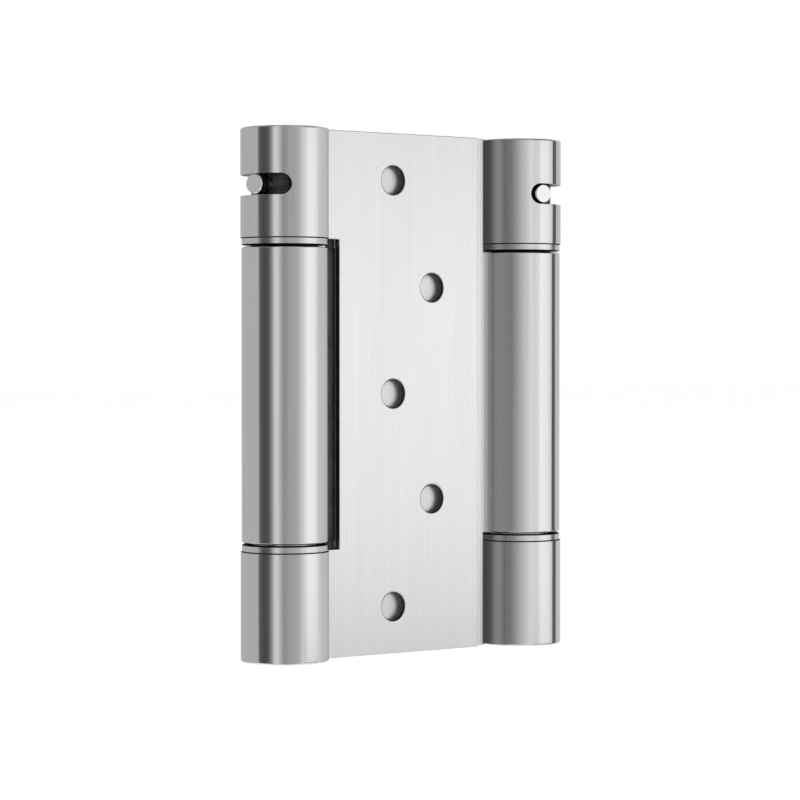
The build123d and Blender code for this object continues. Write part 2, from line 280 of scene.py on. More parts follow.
def fadeOutward(material, deep, shallow, least):
    # painted shade: the tone falls to its least between two distances from the web's middle plane, in
    # millimetres
    tree = material.node_tree
    shader = tree.nodes["Principled BSDF"]
    before = shader.inputs["Base Color"].links[0].from_socket
    where = addNode(tree, "ShaderNodeTexCoord")
    axes = addNode(tree, "ShaderNodeSeparateXYZ")
    depth = addNode(tree, "ShaderNodeMath", operation="ABSOLUTE")
    tree.links.new(where.outputs["Object"], axes.inputs["Vector"])
    tree.links.new(axes.outputs["Y"], depth.inputs[0])
    dim = addNode(tree, "ShaderNodeMix", {"Factor": 1.0}, data_type="RGBA", blend_type="MULTIPLY")
    tree.links.new(before, dim.inputs["A"])
    tree.links.new(remap(tree, depth.outputs[0], 1.0, least, deep * mm, shallow * mm), dim.inputs["B"])
    tree.links.new(dim.outputs["Result"], shader.inputs["Base Color"])


satinPlate = makeSatinSteel("satinPlate", steel["plateRoughness"], 0.02, (0.35, 0.35, 50), 0.0003,
                            (7, 7, 70), 0.003, tone=0.02, specks=0.6, colour=steel["plateColour"])
satinBarrel = makeSatinSteel("satinBarrel", steel["barrelRoughness"], 0.03, (0.3, 0.3, 60), 0.0008,
                             (2.2, 2.2, 90), 0.0015, tone=0.03)
ringSteel = makeSatinSteel("ringSteel", steel["ringRoughness"], 0.04, (3, 3, 0.12), 0.001,
                           (4, 4, 1), 0.001, tone=0.03)
brightPin = makeSatinSteel("brightPin", steel["pinRoughness"], 0.04, (0.4, 0.4, 0.4), 0.001,
                           (2, 2, 2), 0.001, tone=0.02, colour=(0.87, 0.872, 0.876))
turnedSteel = makeSatinSteel("turnedSteel", 0.3, 0.06, (3, 3, 0.15), 0.002, (6, 6, 2), 0.002, tone=0.06)
# painted shade: near-black steel for the knuckles' bores, ring faces and slot walls, and for the collars seen
# through the slots
paintedShadeSteel = makeSatinSteel("paintedShadeSteel", 0.42, 0.08, (3, 3, 0.15), 0.002, (3, 3, 1), 0.002,
                            colour=(0.075, 0.075, 0.078), tone=0.3)
# painted shade: dark steel on the plates' edge faces, for the shade in the gaps
paintedEdgeShade = makeSatinSteel("paintedEdgeShade", 0.5, 0.1, (0.2, 0.2, 0.2), 0.004, (2, 2, 2), 0.004,
                         colour=(0.15, 0.15, 0.155), tone=0.25)
# painted shade: the screw holes' walls, darker toward the outer face
paintedHoleShade = makeSatinSteel("paintedHoleShade", 0.45, 0.1, (0.3, 0.3, 0.3), 0.003, (2, 2, 2), 0.003,
                             colour=(0.2, 0.2, 0.205), tone=0.12)
fadeOutward(paintedHoleShade, 1.3, 2.5, 0.25)
hiddenPlate = makeSatinSteel("hiddenPlate", 0.38, 0.04, (0.35, 0.35, 50), 0.001, (7, 7, 70), 0.003,
                             tone=0.02, colour=(0.9, 0.902, 0.904))
# painted shade: dark steel on the web's face in the leaves' notches
paintedNotchShade = makeSatinSteel("paintedNotchShade", 0.4, 0.08, (0.3, 0.3, 30), 0.002, (2, 2, 8), 0.003,
                           colour=(0.12, 0.12, 0.125), tone=0.3)
gapShadow = makeSatinSteel("gapShadow", 0.6, 0.1, (0.5, 0.5, 0.5), 0.001, (2, 2, 2), 0.001,
                           colour=(0.02, 0.02, 0.021), tone=0.3)
# painted shade: near-black bronze for the bushes, which show in the gaps at the rings
paintedShadeBronze = makeSatinSteel("paintedShadeBronze", 0.5, 0.08, (0.3, 0.3, 0.3), 0.002, (5, 5, 5), 0.002,
                             colour=(0.05, 0.036, 0.022), tone=0.3)
springSteel = makeSatinSteel("springSteel", 0.36, 0.06, (0.8, 0.8, 0.8), 0.002, (5, 5, 5), 0.002,
                             colour=(0.33, 0.32, 0.305), tone=0.15)
print("finishes made")


def finishPiece(piece, body, slotName, *nodes):
    placeInMesh(piece)
    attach(piece, body)
    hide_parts(*nodes)
    clearSelection()


# Plates

leafPlate = {
    "freeEdge": 19.9, "notchEdge": -21.6, "outerFace": -3.0, "innerFace": -1.1,
    "halfHeight": 62.5, "notchTop": 36.7,
    "weld": 1.1, "hiddenWeld": 0.5, "barrelRadius": 10.4,
    "edgeRound": 0.2,
    "holes": [(-5.8, 51.2), (-5.8, 0), (-5.8, -51.2), (5.8, 25.6), (5.8, -25.6)],
    "holeRadius": 3.3, "rimRadius": 3.8, "countersinkRadius": 4.4,
}


def weldStations(face, weld, barrelRadius, side, steps=8):
    # where the rounded weld runs from a plate's face to its barrel, as (x, y)
    centreY = face + side * weld
    centreX = barrelX + sqrt((barrelRadius + weld) ** 2 - centreY ** 2)
    meet = Vector((barrelX - centreX, -centreY)).normalized() * weld
    sweep = asin(min(1, abs(meet.x) / weld))
    return [(centreX - weld * sin(sweep * s / steps), centreY - side * weld * cos(sweep * s / steps))
            for s in range(steps + 1)]


def heightAt(stations, x):
    # y of a weld's outline at that x, flat before it starts and after it ends
    if x >= stations[0][0]:
        return stations[0][1]
    for (x0, y0), (x1, y1) in zip(stations, stations[1:]):
        if x >= x1:
            return y0 + (y1 - y0) * (x - x0) / (x1 - x0)
    return stations[-1][1]


def pullToBarrel(startX, outer, inner, lowY, highY):
    # pulls the picked end faces out to the barrel, widening them along the welds
    x, low, high = startX, lowY, highY
    for newX in sorted({p[0] for p in outer + inner}, reverse=True):
        bpy.ops.mesh.extrude_region_move(TRANSFORM_OT_translate={"value": ((newX - x) * mm, 0, 0)})
        newLow, newHigh = heightAt(outer, newX), heightAt(inner, newX)
        grow = (newHigh - newLow) / (high - low)
        if abs(grow - 1) > 1e-6:
            middle = (newLow - grow * low) / (1 - grow)
            bpy.ops.transform.resize(value=(1, grow, 1), orient_type="GLOBAL",
                                     center_override=(newX * mm, middle * mm, 0))
        x, low, high = newX, newLow, newHigh


def addBlock(name, low, high):
    clearSelection()
    bpy.ops.mesh.primitive_cube_add(size=1, location=[(a + b) / 2 * mm for a, b in zip(low, high)])
    block = namePiece(name)
    block.scale = [(b - a) * mm for a, b in zip(low, high)]
    placeInMesh(block)
    return block


def splitAt(place, axis):
    # cuts the faces in two where the plane at that place on the axis meets them
    bpy.ops.mesh.select_all(action="SELECT")
    bpy.ops.mesh.bisect(plane_co=[place * mm * a for a in axis], plane_no=axis, use_fill=False,
                        clear_inner=False, clear_outer=False)


def inScrewHole(c, n):
    p = leafPlate
    reach = p["countersinkRadius"] + 0.1
    return abs(n.y) < 0.8 and any((c.x - x) ** 2 + (c.z - z) ** 2 < reach ** 2 for x, z in p["holes"])


def modelLeaf():
    p = leafPlate
    clearance = 0.2  # how far the drill reaches past both faces
    leaf = addBlock("frameLeaf", (p["notchEdge"], p["outerFace"], -p["halfHeight"]),
                    (p["freeEdge"], p["innerFace"], p["halfHeight"]))
    openMesh(leaf)
    splitAt(p["notchTop"], (0, 0, 1))
    splitAt(-p["notchTop"], (0, 0, 1))
    pickFaces(leaf, lambda c, n: n.x < -0.9 and abs(c.z) > p["notchTop"])
    outer = weldStations(p["outerFace"], p["weld"], p["barrelRadius"], -1)
    inner = weldStations(p["innerFace"], p["hiddenWeld"], p["barrelRadius"], 1, 4)
    pullToBarrel(p["notchEdge"], outer, inner, p["outerFace"], p["innerFace"])
    closeMesh()
    roundEdges(leaf, p["edgeRound"])
    depth = p["innerFace"] - p["outerFace"]
    rim = p["rimRadius"] - p["holeRadius"]
    sink = p["countersinkRadius"] - p["holeRadius"]
    outline = [(p["rimRadius"], -clearance)]
    for step in range(7):  # the outer edge is rounded over
        turn = radians(15 * step)
        outline.append((p["rimRadius"] - rim * sin(turn), rim - rim * cos(turn)))
    outline += [(p["holeRadius"], depth - sink), (p["countersinkRadius"] + clearance, depth + clearance),
                (0.02, depth + clearance), (0.02, -clearance)]
    drill = turnPiece("drill", 0, outline, 96)
    openMesh(drill)
    bpy.ops.mesh.select_all(action="SELECT")
    bpy.ops.mesh.remove_doubles(threshold=0.05 * mm)  # closes the tiny rings at its axis
    bpy.ops.mesh.normals_make_consistent(inside=False)
    closeMesh()
    drill.rotation_euler = (radians(-90), 0, 0)
    drill.location = (0, p["outerFace"] * mm, 0)
    placeInMesh(drill)
    drills = []
    for x, z in p["holes"]:
        makeActive(drill)
        bpy.ops.object.duplicate(linked=False)
        copy = bpy.context.active_object
        copy.location = (x * mm, 0, z * mm)
        drills.append(copy)
    bpy.data.objects.remove(drill, do_unlink=True)
    clearSelection()
    for copy in drills:
        copy.select_set(True)
    bpy.context.view_layer.objects.active = drills[0]
    bpy.ops.object.join()
    cutter = namePiece("drills")
    placeInMesh(cutter)
    cutOut(leaf, cutter)
    smoothFaces(leaf)
    giveFinish(leaf, satinPlate)
    # painted shade on the leaf's edge faces
    markFaces(leaf, paintedEdgeShade, lambda c, n: abs(n.y) < 0.2)
    # painted shade in the screw holes
    markFaces(leaf, paintedHoleShade, inScrewHole)
    return leaf


webPlate = {"edge": 23.2, "face": 0.95, "halfHeight": 62.5, "tongueTop": 34.65, "weld": 1.1,
            "tubeRadius": 10.15, "edgeRound": 0.2, "shadeFrom": 21.7, "hiddenTo": 14.0}


def modelWeb():
    p = webPlate
    web = addBlock("webPlate", (-p["edge"], -p["face"], -p["halfHeight"]),
                   (p["edge"], p["face"], p["halfHeight"]))
    openMesh(web)
    splitAt(p["tongueTop"], (0, 0, 1))
    splitAt(-p["tongueTop"], (0, 0, 1))
    # welds on both faces, out to the tubes
    near = weldStations(-p["face"], p["weld"], p["tubeRadius"], -1)
    far = weldStations(p["face"], p["weld"], p["tubeRadius"], 1)
    for side in (-1, 1):
        pickFaces(web, lambda c, n: n.x * side > 0.9 and abs(c.z) < p["tongueTop"])
        if side < 0:
            pullToBarrel(-p["edge"], near, far, -p["face"], p["face"])
        else:
            x, high = p["edge"], p["face"]
            for newX in sorted({-q[0] for q in near + far}):
                bpy.ops.mesh.extrude_region_move(TRANSFORM_OT_translate={"value": ((newX - x) * mm, 0, 0)})
                grow = heightAt(far, -newX) / high
                bpy.ops.transform.resize(value=(1, grow, 1), orient_type="GLOBAL",
                                         center_override=(newX * mm, 0, 0))
                x, high = newX, heightAt(far, -newX)
    closeMesh()
    roundEdges(web, p["edgeRound"])
    openMesh(web)
    for x in (-p["shadeFrom"], -p["hiddenTo"], p["hiddenTo"], p["shadeFrom"]):
        splitAt(x, (1, 0, 0))
    closeMesh()
    smoothFaces(web)
    giveFinish(web, satinPlate)
    # in each leaf's notch the web's face gets painted shade
    markFaces(web, paintedNotchShade, lambda c, n: (c.x < -p["shadeFrom"] and n.y < -0.15)
              or (c.x > p["shadeFrom"] and n.y > 0.15))
    # painted shade on the web's edge faces
    markFaces(web, paintedEdgeShade, lambda c, n: abs(n.y) < 0.15)
    # between the leaves it is dull: this is what shows through the screw holes
    markFaces(web, hiddenPlate, lambda c, n: abs(n.y) > 0.9 and abs(c.x) < p["hiddenTo"])
    return web


frameLeaf = modelLeaf()
doorLeaf = halfTurnCopy(frameLeaf, "doorLeaf")
finishPiece(frameLeaf, "frame_leaf", "satin_plate", "frame_leaf_plate")
finishPiece(doorLeaf, "door_leaf", "satin_plate", "door_leaf_plate")
finishPiece(modelWeb(), "web", "satin_plate", "web_plate")
print("plates modelled")

# Barrels

knuckle = {"radius": 10.4, "bore": 7.9, "end": 62.5, "face": 36.7, "endRound": 0.5, "innerBreak": 0.15,
           "slotLevel": 49.0, "slotHeight": 4.9, "slotFrom": 82.0, "slotTo": 231.5, "slotLip": 0.15,
           "cutterFrom": 6.0, "cutterTo": 13.0, "cutterSteps": 47, "cutterCornerSegments": 14}
tube = {"radius": 10.15, "bore": 7.75, "end": 34.65, "edgeBreak": 0.3, "edgeRound": 0.06}
ring = {"radius": 10.1, "face": 36.7, "tubeFace": 35.1, "edgeBreak": 0.15, "spigotRadius": 7.9,
        "spigotEnd": 38.2, "upperHole": 6.95, "lowerHole": 5.15}
cap = {"radius": 7.9, "outer": 62.2, "inner": 58.7, "edgeBreak": 0.4, "faceRings": (1.6, 4.2)}


def knuckleOutline(toward):
    p = knuckle
    end, face = toward * p["end"], toward * p["face"]
    outline = [(p["bore"], end)] + roundedCorner(p["radius"], end, p["endRound"], toward)
    outline += [(p["radius"], face + toward * p["innerBreak"]), (p["radius"] - p["innerBreak"], face),
                (p["bore"], face)]
    return outline


def modelSlotCutter():
    # a bar bent round the barrel, with a straight length and two rounded
    # corners at each end: its ends are the round ends of the slot
    p = knuckle
    clearSelection()
    start = radians(p["slotFrom"])
    middle = (p["cutterFrom"] + p["cutterTo"]) / 2
    bpy.ops.mesh.primitive_plane_add(size=1, location=((barrelX + middle * cos(start)) * mm,
                                                       middle * sin(start) * mm, p["slotLevel"] * mm),
                                     rotation=(radians(90), 0, start))
    cutter = namePiece("slotCutter")
    cutter.scale = ((p["cutterTo"] - p["cutterFrom"]) * mm, p["slotHeight"] * mm, 1)
    placeInMesh(cutter)
    openMesh(cutter)
    bpy.ops.mesh.select_all(action="SELECT")
    turn = radians(p["slotTo"] - p["slotFrom"])
    bpy.ops.mesh.spin(steps=p["cutterSteps"], angle=turn, center=(barrelX * mm, 0, 0), axis=(0, 0, -1))
    bpy.ops.mesh.select_all(action="SELECT")
    bpy.ops.mesh.remove_doubles(threshold=0.002 * mm)
    mesh = bmesh.from_edit_mesh(cutter.data)
    if any(len(e.link_faces) == 1 for e in mesh.edges):  # a spun face can leave its first place open
        for e in mesh.edges:
            e.select_set(len(e.link_faces) == 1)
        bmesh.update_edit_mesh(cutter.data)
        bpy.ops.mesh.edge_face_add()
    bpy.ops.mesh.select_all(action="SELECT")
    bpy.ops.mesh.normals_make_consistent(inside=False)
    half = p["slotHeight"] / 2
    for angle, along in ((p["slotFrom"], -1), (p["slotTo"], 1)):
        outward = Vector((-sin(radians(angle)), cos(radians(angle)), 0)) * along
        pickFaces(cutter, lambda c, n: n.dot(outward) > 0.999
                  and abs((c - Vector((barrelX, 0, c.z))).dot(outward)) < 0.01)
        bpy.ops.mesh.extrude_region_move(TRANSFORM_OT_translate={"value": outward * half * mm})
        bpy.ops.mesh.select_mode(type="EDGE")
        pickEdges(cutter, lambda a, b: abs(a.z - b.z) < 0.01
                  and all(abs((v - Vector((barrelX, 0, v.z))).dot(outward) - half) < 0.01 for v in (a, b)))
        # the two corners are rounded until they all but meet
        bpy.ops.mesh.bevel(offset=(half - 0.003) * mm, offset_type="OFFSET",
                           segments=p["cutterCornerSegments"], affect="EDGES")
        bpy.ops.mesh.select_mode(type="FACE")
    bpy.ops.mesh.select_all(action="SELECT")
    bpy.ops.mesh.remove_doubles(threshold=0.008 * mm)
    closeMesh()
    return cutter


def fromAxis(c):
    return sqrt((c.x - barrelX) ** 2 + c.y ** 2)


def shadedKnuckleFace(c, n):
    # the bore, the face on the ring with its broken edge, and the slot's walls, which get painted shade
    p = knuckle
    inBore = fromAxis(c) < p["radius"] - p["innerBreak"] - 0.01 and abs(c.z) < p["end"] - 1
    return inBore or abs(abs(c.z) - p["face"]) < p["innerBreak"] * 0.9


lowerKnuckle = turnPiece("leftLowerKnuckle", barrelX, knuckleOutline(-1))
smoothFaces(lowerKnuckle)
upperKnuckle = turnPiece("leftUpperKnuckle", barrelX, knuckleOutline(1))
cutOut(upperKnuckle, modelSlotCutter())
roundEdges(upperKnuckle, knuckle["slotLip"], 2, 50)
smoothFaces(upperKnuckle)
for piece in (lowerKnuckle, upperKnuckle):
    giveFinish(piece, satinBarrel)
    # painted shade on the bores, ring faces and slot walls
    markFaces(piece, paintedShadeSteel, shadedKnuckleFace)

springTube = turnPiece("leftSpringTube", barrelX, [
    (tube["bore"], -tube["end"]), (tube["radius"] - tube["edgeBreak"], -tube["end"]),
    (tube["radius"], -tube["end"] + tube["edgeBreak"]), (tube["radius"], tube["end"] - tube["edgeBreak"]),
    (tube["radius"] - tube["edgeBreak"], tube["end"]), (tube["bore"], tube["end"])])
roundEdges(springTube, tube["edgeRound"], 2, 30)
smoothFaces(springTube)
giveFinish(springTube, satinBarrel)
markFaces(springTube, gapShadow, lambda c, n: fromAxis(c) < tube["radius"] - tube["edgeBreak"])


def ringOutline(toward, hole):
    p = ring
    return [(hole, toward * p["tubeFace"]), (p["radius"] - p["edgeBreak"], toward * p["tubeFace"]),
            (p["radius"], toward * (p["tubeFace"] + p["edgeBreak"])),
            (p["radius"], toward * (p["face"] - p["edgeBreak"])),
            (p["radius"] - p["edgeBreak"], toward * p["face"]),
            (p["spigotRadius"], toward * p["face"]), (p["spigotRadius"], toward * p["spigotEnd"]),
            (hole, toward * p["spigotEnd"])]


upperRing = turnPiece("leftUpperRing", barrelX, ringOutline(1, ring["upperHole"]))
lowerRing = turnPiece("leftLowerRing", barrelX, ringOutline(-1, ring["lowerHole"]))
for piece in (upperRing, lowerRing):
    smoothFaces(piece)
    giveFinish(piece, ringSteel)
    markFaces(piece, gapShadow, lambda c, n: fromAxis(c) < ring["radius"] - 0.01)


def modelCap(name, toward):
    p = cap
    clearSelection()
    bpy.ops.mesh.primitive_cylinder_add(vertices=128, radius=p["radius"] * mm,
                                        depth=(p["outer"] - p["inner"]) * mm,
                                        location=(barrelX * mm, 0, toward * (p["outer"] + p["inner"]) / 2 * mm))
    piece = namePiece(name)
    placeInMesh(piece)
    openMesh(piece)
    pickFaces(piece, lambda c, n: n.z * toward > 0.9)
    bpy.ops.mesh.bevel(offset=p["edgeBreak"] * mm, segments=1, affect="EDGES")
    for width in p["faceRings"]:
        pickFaces(piece, lambda c, n: n.z * toward > 0.99 and abs(c.x - barrelX) < 0.1 and abs(c.y) < 0.1)
        bpy.ops.mesh.inset(thickness=width * mm, depth=0)
    closeMesh()
    smoothFaces(piece)
    giveFinish(piece, turnedSteel)
    return piece


topCap = modelCap("leftTopCap", 1)
bottomCap = modelCap("leftBottomCap", -1)

barrelPieces = [
    (upperKnuckle, "rightUpperKnuckle", "frame_leaf", "door_leaf", "satin_barrel", "upper_knuckle"),
    (lowerKnuckle, "rightLowerKnuckle", "frame_leaf", "door_leaf", "satin_barrel", "lower_knuckle"),
    (springTube, "rightSpringTube", "web", "web", "satin_barrel", "spring_tube"),
    (upperRing, "rightUpperRing", "frame_leaf", "door_leaf", "ring_steel", "upper_thrust_ring"),
    (lowerRing, "rightLowerRing", "frame_leaf", "door_leaf", "ring_steel", "lower_thrust_ring"),
    (topCap, "rightTopCap", "frame_leaf", "door_leaf", "turned_steel", "top_cap"),
    (bottomCap, "rightBottomCap", "frame_leaf", "door_leaf", "turned_steel", "bottom_cap"),
]
for piece, twinName, leftBody, rightBody, slotName, node in barrelPieces:
    twin = halfTurnCopy(piece, twinName)
    finishPiece(piece, leftBody, slotName, "left_" + node)
    finishPiece(twin, rightBody, slotName, "right_" + node)
print("barrels modelled")

# Stop pins and the collars they stand in

stopPin = {"radius": 2.3, "length": 7.9, "taperIn": 0.17, "taperBack": 0.4, "edgeRound": 0.03, "level": 49.0,
           "left": {"axis": barrelX, "angle": 198.0, "reach": 11.7},
           "right": {"axis": -barrelX, "angle": 267.0, "reach": 10.4}}
for side in ("left", "right"):
    p, s = stopPin, stopPin[side]
    middle = s["reach"] - p["length"] / 2
    turn = radians(s["angle"])
    clearSelection()
    bpy.ops.mesh.primitive_cylinder_add(vertices=96, radius=p["radius"] * mm, depth=p["length"] * mm)
    pin = namePiece(side + "StopPin")
    openMesh(pin)
    for toward in (-1, 1):  # each end tapers a little
        pickFaces(pin, lambda c, n: n.z * toward > 0.9)
        bpy.ops.mesh.inset(thickness=p["taperIn"] * mm, depth=0)
        bpy.ops.mesh.select_mode(type="EDGE")
        pickEdges(pin, lambda a, b: all(v.z * toward > p["length"] / 2 - 0.01
                                        and v.xy.length > p["radius"] - 0.01 for v in (a, b)))
        bpy.ops.transform.translate(value=(0, 0, -toward * p["taperBack"] * mm))
        bpy.ops.mesh.select_mode(type="FACE")
    closeMesh()
    pin.rotation_euler = (0, radians(90), turn)
    pin.location = ((s["axis"] + middle * cos(turn)) * mm, middle * sin(turn) * mm, p["level"] * mm)
    placeInMesh(pin)
    roundEdges(pin, p["edgeRound"], 2, 15)
    smoothFaces(pin, 12)
    giveFinish(pin, brightPin)
    finishPiece(pin, side + "_pin", "bright_pin", side + "_stop_pin")

    makeActive(frame["nodes"][side + "_tension_collar"])
    bpy.ops.object.duplicate(linked=False)
    collar = namePiece(side + "Collar")
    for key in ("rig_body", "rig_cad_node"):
        if key in collar:
            del collar[key]
    openMesh(collar, "VERT")
    bpy.ops.mesh.select_all(action="SELECT")
    bpy.ops.mesh.remove_doubles(threshold=0.001 * mm)
    closeMesh()
    makeActive(collar)
    bpy.ops.object.parent_clear(type="CLEAR_KEEP_TRANSFORM")
    smoothFaces(collar, 28)
    # painted shade: the collar seen through the slot is made near black
    giveFinish(collar, paintedShadeSteel)
    finishPiece(collar, side + "_collar", "turned_steel", side + "_tension_collar")
print("pins and collars modelled")

# What stays as it is in the frame
# the bushes are made near black: painted shade in the gaps at the rings
inside = {"upper_bush": paintedShadeBronze, "lower_bush": paintedShadeBronze, "spring_anchor": turnedSteel,
          "guide_rod": turnedSteel, "pivot_plug": turnedSteel, "torsion_spring": springSteel}
for side in ("left", "right"):
    for node, material in inside.items():
        giveFinish(frame["nodes"][side + "_" + node], material)
print("inner parts finished")

# Studio: white floor and world, and round the object a tent of grey and white
# cloth that the polished barrels mirror, with small screens close to them
studio = {
    # the floor and the world light the hinge softly, and look white themselves
    "floorLevel": -62.5, "floorWidth": 8000, "floorTone": 0.9, "floorGlow": 1.06, "floorGlowShare": 0.84,
    "worldLight": 0.7, "worldSeen": 1.0,
    "lampPlace": (-150, -300, 900), "lampSize": 700, "lampPower": 6.0,
    "tentRadius": 900, "tentHeight": 1400, "roofTone": 0.3,
    # azimuth in degrees and how bright the cloth is there
    "panels": [(-180, 0.078), (-172, 0.09), (-167, 0.12), (-158, 0.19), (-149, 0.23), (-138, 0.34),
               (-127, 0.45), (-116, 0.58), (-105, 0.71), (-93, 0.85), (-80, 0.78), (-71, 0.83), (-62, 1.05),
               (-43, 1.0), (-33, 0.9), (-21, 0.65), (9, 0.6), (60, 0.8), (80, 0.51), (162.5, 0.51),
               (164.5, 0.3), (167, 0.163), (171, 0.105), (180, 0.078)],
    # how bright it is at each height in millimetres, where the plates mirror it
    "heights": [(-700, 0.26), (-210, 0.32), (-160, 0.96), (-115, 1.03), (0, 1.04), (115, 1.02), (160, 0.95),
                (230, 0.5), (700, 0.45)],
    # where that change of tone is, by azimuth
    "heightShare": [(-180, 0), (-100, 0), (-75, 1), (-35, 1), (-10, 0), (180, 0)],
    # screens bent round one barrel, from one azimuth to another and between the
    # levels of each span: only what stands inside a screen mirrors it
    "leftScreen": {"axis": barrelX, "radius": 25, "spans": [(-150, 150)],
                   "panels": [(200, 0.08), (202, 0.12), (208.5, 0.31), (215, 0.72), (221, 0.76), (227, 0.51),
                              (233.5, 0.327), (239.6, 0.364), (246, 0.428), (258, 0.455), (264.6, 0.506),
                              (271, 0.66), (278, 0.8)]},
    "rightScreen": {"axis": -barrelX, "radius": 32, "spans": [(-150, 150)],
                    "panels": [(323, 0.12), (339, 0.12)]},
    "leftWeldScreen": {"axis": barrelX, "radius": 11.5, "spans": [(-65, 65)],
                       "panels": [(290, 0.8), (295, 0.69), (303.5, 0.63), (315, 0.6), (330, 0.45), (337, 0.3)]},
    "rightTubeScreen": {"axis": -barrelX, "radius": 11.5, "spans": [(-34.9, 34.9)],
                        "panels": [(187, 0.2), (191.7, 0.27), (197, 0.26), (202.4, 0.27), (212, 0.26),
                                   (219, 0.24)]},
    "rightWeldScreen": {"axis": -barrelX, "radius": 11.5, "spans": [(-65, -34.9), (34.9, 65)],
                        "panels": [(158, 0.055), (171, 0.075), (179, 0.075), (185.6, 0.11), (191.7, 0.22),
                                   (197, 0.28), (202.4, 0.27), (207.5, 0.205), (213, 0.16)]},
}


def makeFloor():
    clearSelection()
    bpy.ops.mesh.primitive_plane_add(size=studio["floorWidth"] * mm, location=(0, 0, studio["floorLevel"] * mm))
    floor = namePiece("floor")
    material = bpy.data.materials.new("floorPaper")
    material.use_nodes = True
    tree = material.node_tree
    tree.nodes.clear()
    tone = studio["floorTone"]
    paper = addNode(tree, "ShaderNodeBsdfDiffuse", {"Color": (tone, tone, tone, 1)})
    bright = addNode(tree, "ShaderNodeEmission", {"Color": (1, 1, 1, 1), "Strength": studio["floorGlow"]})
    path = addNode(tree, "ShaderNodeLightPath")
    either = addNode(tree, "ShaderNodeMath", operation="MAXIMUM")
    share = addNode(tree, "ShaderNodeMath", {1: studio["floorGlowShare"]}, operation="MULTIPLY")
    mix = addNode(tree, "ShaderNodeMixShader")
    out = addNode(tree, "ShaderNodeOutputMaterial")
    tree.links.new(path.outputs["Is Camera Ray"], either.inputs[0])
    tree.links.new(path.outputs["Is Glossy Ray"], either.inputs[1])
    tree.links.new(either.outputs[0], share.inputs[0])
    tree.links.new(share.outputs[0], mix.inputs["Fac"])
    tree.links.new(paper.outputs[0], mix.inputs[1])
    tree.links.new(bright.outputs[0], mix.inputs[2])
    tree.links.new(mix.outputs[0], out.inputs["Surface"])
    floor.data.materials.append(material)
    floor.visible_glossy = False  # polished sides mirror the tent below the foot too
    return floor


def setRamp(ramp, panels, low, high):
    stops = ramp.color_ramp.elements
    while len(stops) < len(panels):
        stops.new(1.0)
    for stop, (place, bright) in zip(stops, panels):
        stop.position = (place - low) / (high - low)
    for stop, (place, bright) in zip(stops, panels):
        stop.color = (bright, bright, bright, 1)


def makeCloth(name, panels, heights=None, share=None, oneSided=False):
    # cloth that glows by azimuth, and by height where the share says so; a
    # one-sided cloth glows toward its axis only and can't be seen from outside
    material = bpy.data.materials.new(name)
    material.use_nodes = True
    tree = material.node_tree
    tree.nodes.clear()
    low, high = panels[0][0], panels[-1][0]
    where = addNode(tree, "ShaderNodeTexCoord")
    axes = addNode(tree, "ShaderNodeSeparateXYZ")
    angle = addNode(tree, "ShaderNodeMath", operation="ARCTAN2")
    tree.links.new(where.outputs["Object"], axes.inputs["Vector"])
    tree.links.new(axes.outputs["Y"], angle.inputs[0])
    tree.links.new(axes.outputs["X"], angle.inputs[1])
    around = angle.outputs[0]
    if high > 180:  # counted on past half a turn
        shift = addNode(tree, "ShaderNodeMath", {1: 2 * pi}, operation="ADD")
        turnOn = addNode(tree, "ShaderNodeMath", {1: 2 * pi}, operation="MODULO")
        tree.links.new(around, shift.inputs[0])
        tree.links.new(shift.outputs[0], turnOn.inputs[0])
        around = turnOn.outputs[0]
    spread = remap(tree, around, 0.0, 1.0, radians(low), radians(high))
    ramp = addNode(tree, "ShaderNodeValToRGB")
    setRamp(ramp, panels, low, high)
    tree.links.new(spread, ramp.inputs["Fac"])
    colour = ramp.outputs["Color"]
    if heights:
        level = remap(tree, axes.outputs["Z"], 0.0, 1.0, heights[0][0] * mm, heights[-1][0] * mm)
        levelRamp = addNode(tree, "ShaderNodeValToRGB")
        setRamp(levelRamp, heights, heights[0][0], heights[-1][0])
        shareRamp = addNode(tree, "ShaderNodeValToRGB")
        setRamp(shareRamp, share, low, high)
        tree.links.new(level, levelRamp.inputs["Fac"])
        tree.links.new(spread, shareRamp.inputs["Fac"])
        dim = addNode(tree, "ShaderNodeMix", data_type="RGBA", blend_type="MULTIPLY")
        tree.links.new(shareRamp.outputs["Color"], dim.inputs["Factor"])
        tree.links.new(colour, dim.inputs["A"])
        tree.links.new(levelRamp.outputs["Color"], dim.inputs["B"])
        colour = dim.outputs["Result"]
    cloth = addNode(tree, "ShaderNodeEmission", {"Strength": 1.0})
    out = addNode(tree, "ShaderNodeOutputMaterial")
    tree.links.new(colour, cloth.inputs["Color"])
    if oneSided:
        side = addNode(tree, "ShaderNodeNewGeometry")
        clear = addNode(tree, "ShaderNodeBsdfTransparent")
        mix = addNode(tree, "ShaderNodeMixShader")
        tree.links.new(side.outputs["Backfacing"], mix.inputs["Fac"])
        tree.links.new(clear.outputs[0], mix.inputs[1])
        tree.links.new(cloth.outputs[0], mix.inputs[2])
        tree.links.new(mix.outputs[0], out.inputs["Surface"])
    else:
        tree.links.new(cloth.outputs[0], out.inputs["Surface"])
    return material


def seenInMetalOnly(piece):
    for ray in ("camera", "diffuse", "shadow", "transmission", "volume_scatter"):
        setattr(piece, "visible_" + ray, False)


